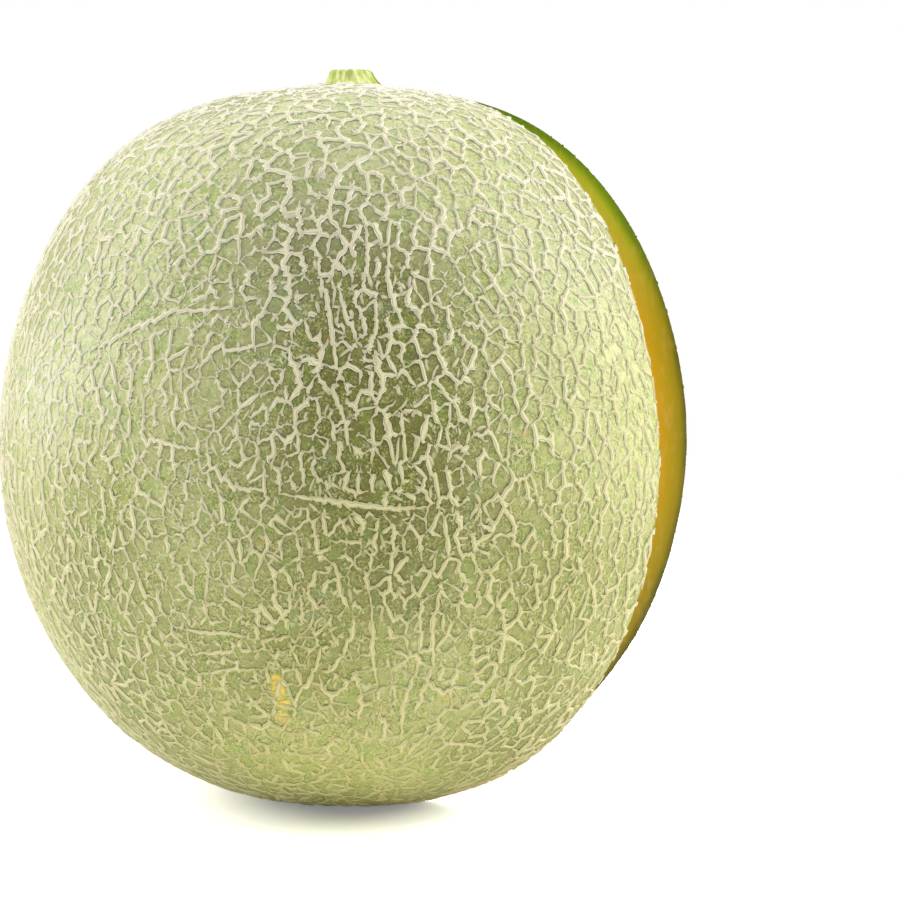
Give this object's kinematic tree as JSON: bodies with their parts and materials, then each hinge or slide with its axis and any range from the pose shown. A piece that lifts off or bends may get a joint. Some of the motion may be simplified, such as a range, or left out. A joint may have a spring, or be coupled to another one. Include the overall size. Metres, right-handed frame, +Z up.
{
  "type": "netted melon",
  "caption": "Round netted muskmelon standing on its blossom end, with one upright wedge cut out as far as the scooped seed hollow, and a short stalk stub on top.",
  "frame": {"origin": "middle of the small flat spot that the melon rests on, at its blossom end", "axes": "+Z up from the blossom end to the stalk, +X out of the middle of the cut wedge, +Y to the left of the opening seen from inside the melon"},
  "size_m": [0.1452, 0.1494, 0.1562],
  "materials": {
    "netted_rind": "dull green skin under a raised net of cream cork",
    "green_stalk": "satin, ribbed, cut across",
    "melon_flesh": "moist cut flesh, orange running to green under the skin"
  },
  "bodies": {
    "root": {"melon": "netted_rind", "stem": "green_stalk"}
  },
  "joints": []
}
